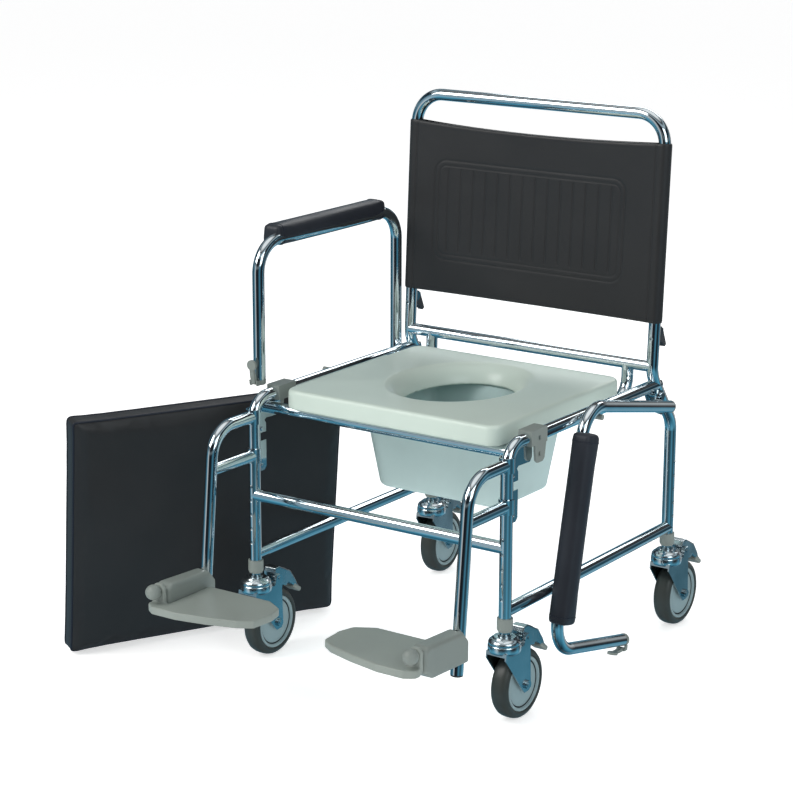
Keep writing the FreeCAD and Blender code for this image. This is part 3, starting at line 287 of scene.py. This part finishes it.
def tube(name, path, radius, material, body, sides=10, closed=False):
    """A round bead of a radius in mm that follows a path of points."""
    count = len(path)
    normal = None
    points = []
    for index, point in enumerate(path):
        before = path[index - 1] if index or closed else point
        after = path[(index + 1) % count] if index < count - 1 or closed else point
        along = (after - before).normalized()
        normal = along.orthogonal() if normal is None else normal - along * normal.dot(along)
        normal.normalize()
        other = along.cross(normal)
        for step in range(sides):
            turn = 2 * math.pi * step / sides
            points.append(point + (normal * math.cos(turn) + other * math.sin(turn)) * radius * MM)
    faces = grid_faces(count, sides, wrap=True)
    if closed:
        last = (count - 1) * sides
        faces += [(last + s, last + (s + 1) % sides, (s + 1) % sides, s) for s in range(sides)]
    else:
        faces += [tuple(reversed(range(sides))), tuple(range((count - 1) * sides, count * sides))]
    return build(name, points, faces, material, body)


def rounded_block(name, size, radius, segments=4):
    """A block with rounded edges about the origin, in mm."""
    shape = bmesh.new()
    bmesh.ops.create_cube(shape, size=1.0)
    for vertex in shape.verts:
        vertex.co = Vector(vertex.co[i] * size[i] for i in range(3)) * MM
    bmesh.ops.bevel(shape, geom=shape.edges[:], offset=radius * MM, segments=segments,
                    profile=0.5, affect="EDGES")
    mesh = bpy.data.meshes.new(name)
    shape.to_mesh(mesh)
    shape.free()
    piece = bpy.data.objects.new(name, mesh)
    bpy.context.scene.collection.objects.link(piece)
    return piece


def coordinates(mesh):
    """A mesh's points as rows of an array."""
    flat = np.empty(len(mesh.vertices) * 3)
    mesh.vertices.foreach_get("co", flat)
    return flat.reshape(-1, 3)


def evaluated(piece):
    """The piece as its modifiers make it now."""
    return piece.evaluated_get(bpy.context.evaluated_depsgraph_get())


def bake_modifiers(piece):
    """The piece as its modifiers leave it, with none left on it."""
    bpy.context.view_layer.update()
    piece.data = bpy.data.meshes.new_from_object(evaluated(piece))
    piece.modifiers.clear()


def add_remesh(piece, voxel):
    """A voxel remesh modifier, with its voxel in mm."""
    remesh = piece.modifiers.new("remesh", "REMESH")
    remesh.mode = "VOXEL"
    remesh.voxel_size = voxel * MM


def inflate(piece, voxel, pressure, cap):
    """Voxel remesh, then a short pressure simulation; voxel and the cap on moves are in mm."""
    add_remesh(piece, voxel)
    bake_modifiers(piece)
    rest = coordinates(piece.data)
    cloth = piece.modifiers.new("cloth", "CLOTH")
    cloth.settings.quality = 4
    cloth.settings.mass = 0.3
    cloth.settings.use_pressure = True
    cloth.settings.uniform_pressure_force = pressure
    cloth.settings.effector_weights.gravity = 0
    cloth.point_cache.frame_start = 1
    cloth.point_cache.frame_end = SIMULATED_FRAMES
    for step in range(1, SIMULATED_FRAMES + 1):
        bpy.context.scene.frame_set(step)
    move = coordinates(evaluated(piece).data) - rest
    length = np.maximum(np.linalg.norm(move, axis=1, keepdims=True), 1e-9)
    piece.modifiers.clear()
    piece.data.vertices.foreach_set("co", (rest + move * np.minimum(1, cap * MM / length)).ravel())
    bpy.context.scene.frame_set(1)
    smooth = piece.modifiers.new("smooth", "SUBSURF")
    smooth.levels = 1
    smooth.render_levels = 1
    bake_modifiers(piece)


def surface(piece):
    """The piece's surface, for casting rays and finding its nearest point."""
    return BVHTree.FromPolygons([v.co.copy() for v in piece.data.vertices],
                                [tuple(p.vertices) for p in piece.data.polygons])


def round_rectangle(half_u, half_v, radius, step=6):
    """Points in mm round a rectangle with rounded corners."""
    path = []
    for side_u, side_v, start in ((1, 1, 0), (-1, 1, 90), (-1, -1, 180), (1, -1, 270)):
        for turn in range(0, 91, 15):
            angle = math.radians(start + turn)
            path.append((side_u * (half_u - radius) + radius * math.cos(angle),
                         side_v * (half_v - radius) + radius * math.sin(angle)))
    dense = []
    for (u0, v0), (u1, v1) in zip(path, path[1:] + path[:1]):
        parts = max(1, round(math.hypot(u1 - u0, v1 - v0) / step))
        dense += [(u0 + (u1 - u0) * n / parts, v0 + (v1 - v0) * n / parts) for n in range(parts)]
    return dense


# ---------------------------------------------------------------- back cover

COVER_HALF = 267.0      # middle of the back to the middle of an upright
COVER_FOOT = 53.5       # lower hem above the tops of the posts
COVER_LENGTH = 325.0    # hem to hem
SKIN_RADIUS = 13.3      # outside of the skin round an upright
HEM_RADIUS = 11.1       # the same at the edge of a hem
HEM_HEIGHT = 4.5        # over which a hem rounds in


def back_frame_axes():
    """Origin at the top of the posts, midway, with the back's own up and rearward directions."""
    up = Vector(JOINTS["back_lift"]["axis"]).normalized()
    rear = Vector((1, 0, 0)).cross(up) * -1
    left, right = (Vector(JOINTS[name + "_back_lever_pull"]["pos_m"]) for name, sign in SIDES)
    return (left + right) / 2 - rear * 16.5 * MM - up * 38 * MM, up, rear


def line_dent(distance, width):
    """Profile of a welded line, from 1 on it to 0 away from it."""
    return math.exp(-(distance / width) ** 2)


def panel_distance(x, z, half_x, low, high, radius):
    """Signed distance in mm to a rounded rectangle, negative inside."""
    dx = abs(x) - half_x + radius
    dz = abs(z - (low + high) / 2) - (high - low) / 2 + radius
    return math.hypot(max(dx, 0), max(dz, 0)) + min(max(dx, dz), 0) - radius


def embossing(x, z):
    """Depth in mm of the welded lines on the front skin, z mm above the tops of the posts."""
    outer = panel_distance(x + 8, z, half_x=206, low=118, high=308, radius=26)
    inner = outer + 10
    depth = 1.1 * line_dent(outer, 1.3) + 0.9 * line_dent(inner, 1.2)
    depth += 1.0 * line_dent(abs(x) - 257, 1.3)
    pitch = 27.2
    if abs(x + 7) < 7.1 * pitch and inner < -6:
        lane = (x + 7) / pitch + 0.5
        depth += 1.1 * line_dent(abs(lane - round(lane)) * pitch, 1.3)
    return depth


def tautness(x, power):
    """1 midway between the uprights and 0 at them; a higher power makes a flatter middle."""
    return 1 - abs(x / COVER_HALF) ** power


def sag(x, height):
    """How far the upper part of the cover hangs down, height mm above the lower hem."""
    upper = max(0.0, (height / COVER_LENGTH - 0.6) / 0.4)
    return 7.0 * (1 - min(1, abs(x / COVER_HALF)) ** 2) * upper ** 2


def wrinkle(x, height):
    """Slow unevenness of the stretched skin, which dies out at the uprights."""
    wave = 0.5 * math.sin(x * 0.045 + height * 0.02) * math.sin(height * 0.017 + 1.3)
    return wave * max(0.0, tautness(x, 3))


def front_skin(x, height):
    """The front skin's place rearwards of the uprights' middle, without lines or wrinkles."""
    ease = tautness(x, 2.5)
    return -SKIN_RADIUS + 3.4 * ease + 0.7 * math.sin(height / COVER_LENGTH * math.pi) * ease


def cover_point(axes, x, height, depth):
    """A point of the cover, height mm above its lower hem and depth mm rearwards."""
    origin, up, rear = axes
    return (origin + Vector((x, 0, 0)) * MM + up * (COVER_FOOT + height - sag(x, height)) * MM
            + rear * depth * MM)


def cover_columns():
    """Columns of the cover's grid: the face with an x in mm, or the side with a turn in degrees."""
    wrap = range(12, 170, 12)
    columns = [("front", x) for x in np.arange(-COVER_HALF, COVER_HALF + 0.1, 1.7)]
    columns += [("right", turn) for turn in wrap]
    columns += [("rear", x) for x in np.arange(COVER_HALF, -COVER_HALF - 0.1, -6.0)]
    return columns + [("left", turn) for turn in wrap]


def cover_rows():
    """Rows of the cover's grid: height, and how full the cover is, from 0 at a hem's edge to 1."""
    hem = []
    for share in (0, 0.25, 0.5, 0.75):
        turn = math.pi / 2 * share
        hem.append((HEM_HEIGHT * (1 - math.cos(turn)), math.sin(turn)))
    rows = [(height, 1.0) for height in np.arange(HEM_HEIGHT, COVER_LENGTH - HEM_HEIGHT, 1.9)]
    return hem + rows + [(COVER_LENGTH - height, full) for height, full in reversed(hem)]


def make_back_cover():
    """The slung cover: a taut front skin and a back skin that wrap both uprights."""
    axes = back_frame_axes()
    columns, rows = cover_columns(), cover_rows()
    points = []
    for height, full in rows:
        for kind, value in columns:
            if kind in ("front", "rear"):
                x = value
                ease = tautness(x, 2.5)
                if kind == "front":
                    depth = front_skin(x, height) + embossing(x, COVER_FOOT + height)
                    closed = -HEM_RADIUS * (1 - ease) - 2.2 * ease
                else:
                    depth = SKIN_RADIUS - 9.3 * ease
                    closed = HEM_RADIUS * (1 - ease) - 2.2 * ease
                depth = closed + (depth - closed) * full
            else:
                sign = 1 if kind == "right" else -1
                radius = HEM_RADIUS + (SKIN_RADIUS - HEM_RADIUS) * full
                turn = math.radians(value)
                x = sign * (COVER_HALF + radius * math.sin(turn))
                depth = -radius * math.cos(turn) * sign
            points.append(cover_point(axes, x, height, depth + wrinkle(x, height) * full))
    faces = grid_faces(len(rows), len(columns), wrap=True)
    cover = build("back_sling", points, faces, "black_vinyl", "back")
    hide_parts("back_cover")
    for height, label in ((8, "low"), (COVER_LENGTH - 9, "high")):
        stitch_line(axes, height, label)


def stitch_line(axes, height, label):
    """A row of stitches along a hem, as short raised threads."""
    outline = ((-1.4, 0, 0.1), (-0.7, -0.35, -0.25), (0.7, -0.35, -0.25),
               (1.4, 0, 0.1), (0.7, 0.35, -0.25), (-0.7, 0.35, -0.25))
    origin, up, rear = axes
    points, faces = [], []
    for x in np.arange(-COVER_HALF + 6, COVER_HALF - 6, 4.2):
        centre = cover_point(axes, x, height, front_skin(x, height) + wrinkle(x, height))
        faces.append(tuple(range(len(points), len(points) + len(outline))))
        points += [centre + (Vector((across, 0, 0)) + up * higher + rear * deeper) * MM
                   for across, higher, deeper in outline]
    build("back_stitches_" + label, points, faces, "piping", "back")


# ---------------------------------------------------------------- pads and cushion

def make_arm_pad(name, sign):
    """A foam pad in a vinyl skin, with a sewn seam near each end."""
    skin = extent("left_armrest_pad") / MM + Vector((6.0, 8.0, 2.0))
    drop = math.radians(JOINTS["right_armrest_raise"]["range_deg"][1]) if sign > 0 else 0.0
    pad = rounded_block(name + "_arm_cushion", skin - Vector((2.0, 4.0, 2.0)), 8.0)
    for vertex in pad.data.vertices:
        ends = min(1.0, abs(vertex.co.y) / (skin.y / 2 * MM))
        if vertex.co.z > 0:
            vertex.co.x *= 0.88
            vertex.co.z -= 3.5 * MM * ends ** 8
    inflate(pad, 4, 4, 4)
    tree = surface(pad)
    centre = middle(name + "_armrest_pad") + Vector((sign * 1.4 * MM, 0, 0))
    place = Matrix.Translation(centre) @ Matrix.Rotation(drop, 4, "X")
    for index, y in enumerate((-skin.y / 2 + 17, skin.y / 2 - 17)):
        ring = pad_ring(tree, y)
        seam = tube(f"{name}_arm_seam_{index}", ring, 0.9, "piping", None, 8, True)
        seam.data.transform(place)
        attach(seam, name + "_armrest")
    pad.data.transform(place)
    dress(pad, "arm_vinyl", name + "_armrest")
    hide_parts(name + "_armrest_pad")


def pad_ring(tree, y):
    """Points round an arm pad's surface, y mm along it."""
    ring = []
    for step in range(64):
        turn = 2 * math.pi * step / 64
        inward = Vector((math.cos(turn), 0, math.sin(turn))) * -60 * MM
        far = Vector((0, y * MM, 0)) - inward
        hit = tree.ray_cast(far, inward.normalized())[0]
        ring.append(hit if hit is not None else tree.find_nearest(far)[0])
    return ring


def cushion_axes():
    """Middle of the cushion with its long, upward and outward directions, from its CAD solid."""
    broad = max(frame["nodes"]["seat_cushion"].data.polygons, key=lambda face: face.area)
    out = broad.normal.copy()
    up = (Vector((0, 0, 1)) - out * out.z).normalized()
    return middle("seat_cushion"), up.cross(out), up, out


def make_cushion():
    """The loose seat cushion, with a piped edge round both of its faces."""
    centre, along, up, out = cushion_axes()
    long, thick, tall = 548.0, 46.0, 466.0
    cushion = rounded_block("loose_cushion", (long - 3, thick - 7, tall - 3), 7.0)
    inflate(cushion, 6, 4, 7)
    tree = surface(cushion)
    place = Matrix((along, out, up)).transposed().to_4x4()
    place.translation = centre
    for index, face in enumerate((-1, 1)):
        path = [tree.find_nearest(Vector((u, face * (thick / 2 - 5), v)) * MM)[0]
                for u, v in round_rectangle(long / 2 - 2.0, tall / 2 - 2.0, 12)]
        bead = tube(f"cushion_piping_{index}", path, 2.3, "piping", None, 10, True)
        bead.data.transform(place)
        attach(bead, "cushion")
    cushion.data.transform(place)
    dress(cushion, "black_vinyl", "cushion")
    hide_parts("seat_cushion")


# ---------------------------------------------------------------- castors

def both_sides(profile):
    """A wheel's whole profile, from that of its positive side, listed towards the middle."""
    return [(-along, radius) for along, radius in profile] + profile[::-1]


def make_wheel(corner):
    """Soft tyre with rounded shoulders on a moulded centre, with painted shade laid in the groove of each
    face.
    """
    axis = Vector(JOINTS[corner + "_roll"]["axis"])
    centre = middle(corner + "_tyre")
    body = corner + "_wheel"
    outer = extent(corner + "_tyre").z / 2 / MM
    half = 17.0
    tread = [(half - 5, 48.6), (half - 2.2, 49), (half - 0.7, 50.2), (half, 52.4), (half - 0.7, 55.2),
             (half - 2.6, 58.4), (half - 6, 61.0), (half - 10, outer - 0.35), (3, outer)]
    tyre = lathe(corner + "_wheel_tread", both_sides(tread), centre, axis, "grey_tyre", body, steps=96)
    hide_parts(corner + "_tyre")
    face = [(17.5, 4.1), (17.5, 9.5), (16.4, 11.0), (13.4, 12.2), (12.9, 15), (12.6, 30), (12.8, 39.0),
            (12.0, 40.2), (12.0, 42.6), (15.0, 43.4), (15.9, 44.6), (15.9, 47.2), (15.0, 48.6), (12.4, 49.0)]
    hub = lathe(corner + "_wheel_centre", both_sides(face), centre, axis, "hub_plastic", body, steps=96)
    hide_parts(corner + "_wheel_hub")
    # A near-black ring in the groove of each face of the centre: painted shade.
    for sign, label in ((-1, "inner"), (1, "outer")):
        ring = [(sign * 11.6, 40.3), (sign * 12.5, 40.5), (sign * 12.5, 42.9), (sign * 11.6, 43.1)]
        lathe(corner + "_wheel_groove_" + label, ring, centre, axis, "painted_shade_gap", body, 72)


def make_cup(corner):
    """Polished dome and band of the swivel cup."""
    centre = middle(corner + "_leg_stem")
    centre.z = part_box(corner + "_caster_fork")[1].z
    band = [(-27.2, 27.0), (-26.6, 28.3), (-23.0, 28.9), (-15.5, 28.9), (-13.2, 28.2), (-12.6, 27.0)]
    dome = [(-11.8, 28.0), (-9.5, 28.1), (-6.5, 26.6), (-3.5, 23.0), (-1.0, 18.0), (0.3, 13.5), (0.4, 12.4)]
    lathe(corner + "_swivel_cup", band + dome, centre, (0, 0, 1), "bell_steel", corner + "_caster")


# ---------------------------------------------------------------- moulded parts

def soften(node, voxel, rounds, material):
    """A copy of a CAD node whose edges are rounded off, in its place; voxel is in mm."""
    source = frame["nodes"][node]
    piece = bpy.data.objects.new(node + "_moulded", source.data.copy())
    bpy.context.scene.collection.objects.link(piece)
    weld = piece.modifiers.new("weld", "WELD")
    weld.merge_threshold = 0.02 * MM
    add_remesh(piece, voxel)
    smooth = piece.modifiers.new("smooth", "SMOOTH")
    smooth.factor = 0.5
    smooth.iterations = rounds
    bake_modifiers(piece)
    dress(piece, material, source["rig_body"])
    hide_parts(node)


# ---------------------------------------------------------------- small fittings

def make_button_dome(corner):
    """Dome of the spring button, which stands out of a hole in the leg."""
    axis = -Vector(JOINTS[corner + "_button_press"]["axis"])
    spot = middle(corner + "_leg")
    spot.z = middle(corner + "_leg_button").z
    inside = 9.0
    dome = [(inside, 3.0), (inside + 1.6, 2.9), (inside + 2.6, 2.4), (inside + 3.2, 1.4), (inside + 3.4, 0.3)]
    lathe(corner + "_button_dome", dome, spot, axis, "zinc_steel", corner + "_button", steps=24)


def make_brake_trims(corner):
    """The grey rounded tread of the brake pedal, and a thin near-black plate of painted shade in the window
    of its bracket.
    """
    along = Vector(JOINTS[corner + "_roll"]["axis"]).normalized()
    ahead = Vector((0, 0, 1)).cross(along)
    hinge = Matrix((along, ahead, Vector((0, 0, 1)))).transposed().to_4x4()
    hinge.translation = Vector(JOINTS[corner + "_brake_tilt"]["pos_m"])
    # The window plate is painted shade in the bracket's opening; the tread is the pedal's own grey.
    for label, size, radius, ahead_up, slope, material, slot in (
            ("tread", (28, 27, 9), 3.6, (62, -36), (36, -25), "grey_plastic", None),
            ("window", (17, 15, 1.6), 0.7, (25, 11.3), (32, -17), "painted_shade_gap", "zinc_steel")):
        trim = rounded_block(corner + "_brake_" + label, size, radius)
        tilt = Matrix.Rotation(math.atan2(slope[1], slope[0]), 4, "X")
        trim.data.transform(hinge @ Matrix.Translation(Vector((0, *ahead_up)) * MM) @ tilt)
        dress(trim, material, corner + "_brake")


def make_plug(name, sign):
    """Plastic plug in the lower end of the footrest hanger's tube."""
    tube_end, down = at(sign * 267, -147, 136), Vector((0, -31.5, -324)).normalized()
    profile = [(-12, 9.2), (-0.1, 9.2), (0, 10.8), (2.4, 10.6), (3.4, 8.5)]
    lathe(name + "_hanger_plug", profile, tube_end, down, "black_plastic", name + "_footrest", steps=40)


# ---------------------------------------------------------------- stage

def make_stage():
    """A pale floor, bright enough to meet the white sky without an edge."""
    bpy.ops.mesh.primitive_plane_add(size=30, location=(0, 0, 0))
    floor = bpy.context.object
    floor.name = "floor"
    material, tree, shader = shader_nodes("pale_floor")
    shader.inputs["Base Color"].default_value = (0.93, 0.93, 0.93, 1)
    shader.inputs["Roughness"].default_value = 0.85
    shader.inputs["Emission Color"].default_value = (1, 1, 1, 1)
    shader.inputs["Emission Strength"].default_value = 0.56
    floor.data.materials.append(material)
    floor.visible_glossy = False


def area_light(name, place, target, size, power, colour):
    """A rectangular lamp turned towards a target, in metres and watts."""
    data = bpy.data.lights.new(name, "AREA")
    data.shape = "RECTANGLE"
    data.size, data.size_y = size
    data.energy = power
    data.color = colour
    light = bpy.data.objects.new(name, data)
    light.location = place
    light.rotation_euler = (Vector(target) - Vector(place)).to_track_quat("-Z", "Y").to_euler()
    bpy.context.scene.collection.objects.link(light)


def make_world():
    """White sky for the camera; soft bands of white, slate and blue for the chrome to mirror."""
    world = bpy.data.worlds.new("studio")
    world.use_nodes = True
    bpy.context.scene.world = world
    tree = world.node_tree
    back = tree.nodes["Background"]
    place = tree.nodes.new("ShaderNodeTexCoord")
    split = tree.nodes.new("ShaderNodeSeparateXYZ")
    tree.links.new(place.outputs["Generated"], split.inputs["Vector"])
    turn = tree.nodes.new("ShaderNodeTexGradient")
    turn.gradient_type = "RADIAL"
    tree.links.new(place.outputs["Generated"], turn.inputs["Vector"])
    white, slate, blue = (1.0, 1.0, 1.0), (0.012, 0.014, 0.018), (0.10, 0.36, 0.52)
    deep, mid, pale, grey = (0.05, 0.22, 0.33), (0.14, 0.44, 0.60), (0.45, 0.55, 0.60), (0.26, 0.31, 0.33)
    around = ramp(tree, turn.outputs["Fac"],
                  [(0.0, blue), (0.05, slate), (0.13, blue), (0.20, white), (0.23, slate), (0.34, slate),
                   (0.42, blue), (0.48, slate), (0.55, slate), (0.62, blue), (0.67, slate), (0.73, white),
                   (0.76, slate), (0.84, blue), (0.92, slate), (1.0, blue)])
    height = spread(tree, split.outputs["Z"], 0.0, 1.0, -1.0, 1.0)
    rise = ramp(tree, height,
                [(0.0, slate), (0.15, deep), (0.31, mid), (0.39, slate), (0.52, slate), (0.58, grey),
                 (0.64, slate), (0.77, slate), (0.84, pale), (0.90, slate), (0.97, white), (1.0, white)])
    low_share, side_share, high_share = (0.15,) * 3, (0.62,) * 3, (0.05,) * 3
    share = ramp(tree, height,
                 [(0.20, low_share), (0.38, side_share), (0.52, side_share), (0.75, high_share)])
    mix = tree.nodes.new("ShaderNodeMix")
    mix.data_type = "RGBA"
    tree.links.new(share, mix.inputs["Factor"])
    tree.links.new(rise, mix.inputs["A"])
    tree.links.new(around, mix.inputs["B"])
    sight = tree.nodes.new("ShaderNodeLightPath")
    seen = tree.nodes.new("ShaderNodeMix")
    seen.data_type = "RGBA"
    tree.links.new(sight.outputs["Is Glossy Ray"], seen.inputs["Factor"])
    seen.inputs["A"].default_value = (1, 1, 1, 1)
    tree.links.new(mix.outputs["Result"], seen.inputs["B"])
    tree.links.new(seen.outputs["Result"], back.inputs["Color"])
    bright = tree.nodes.new("ShaderNodeMix")
    tree.links.new(sight.outputs["Is Diffuse Ray"], bright.inputs["Factor"])
    bright.inputs["A"].default_value = 1.0
    bright.inputs["B"].default_value = 0.42
    tree.links.new(bright.outputs["Result"], back.inputs["Strength"])


def make_camera():
    """The photograph's camera, solved from the chair's right angles."""
    place, heading, pitch, roll = (2264.8, -3194.3, 1565.6), 34.82, 14.81, 0.11
    data = bpy.data.cameras.new("camera")
    data.lens = 106.3
    data.sensor_width = 36.0
    camera = bpy.data.objects.new("camera", data)
    camera.location = at(*place)
    camera.rotation_mode = "XYZ"
    turn = Matrix.Rotation(math.radians(heading), 4, "Z") @ Matrix.Rotation(math.radians(90 - pitch), 4, "X")
    camera.rotation_euler = (turn @ Matrix.Rotation(math.radians(roll), 4, "Z")).to_euler()
    bpy.context.scene.collection.objects.link(camera)
    bpy.context.scene.camera = camera


finish_nodes()
make_back_cover()
for side_name, side_sign in SIDES:
    make_arm_pad(side_name, side_sign)
make_cushion()
for castor in CORNERS:
    make_wheel(castor)
    make_cup(castor)
    soften(castor + "_brake_pedal", 1.0, 3, "zinc_steel")
for side_name, side_sign in SIDES:
    soften(side_name + "_footplate", 1.6, 8, "plate_plastic")
    soften(side_name + "_footrest_hinge", 1.4, 6, "grey_plastic")
soften("seat_board", 2.4, 6, "seat_plastic")
for castor in CORNERS:
    make_button_dome(castor)
for castor in CORNERS:
    make_brake_trims(castor)
for side_name, side_sign in SIDES:
    make_plug(side_name, side_sign)
make_stage()
make_world()
make_camera()
area_light("key", (-2.2, -3.4, 3.6), (0, 0, 0.5), (2.6, 2.6), 120, (1.0, 0.99, 0.97))
area_light("fill", (3.6, -1.6, 2.4), (0, 0, 0.5), (2.2, 2.2), 38, (0.88, 0.96, 1.0))
area_light("rim", (-0.6, 3.4, 3.2), (0, 0, 0.6), (3.2, 1.6), 50, (1.0, 1.0, 1.0))
bpy.context.scene.view_settings.view_transform = "Standard"
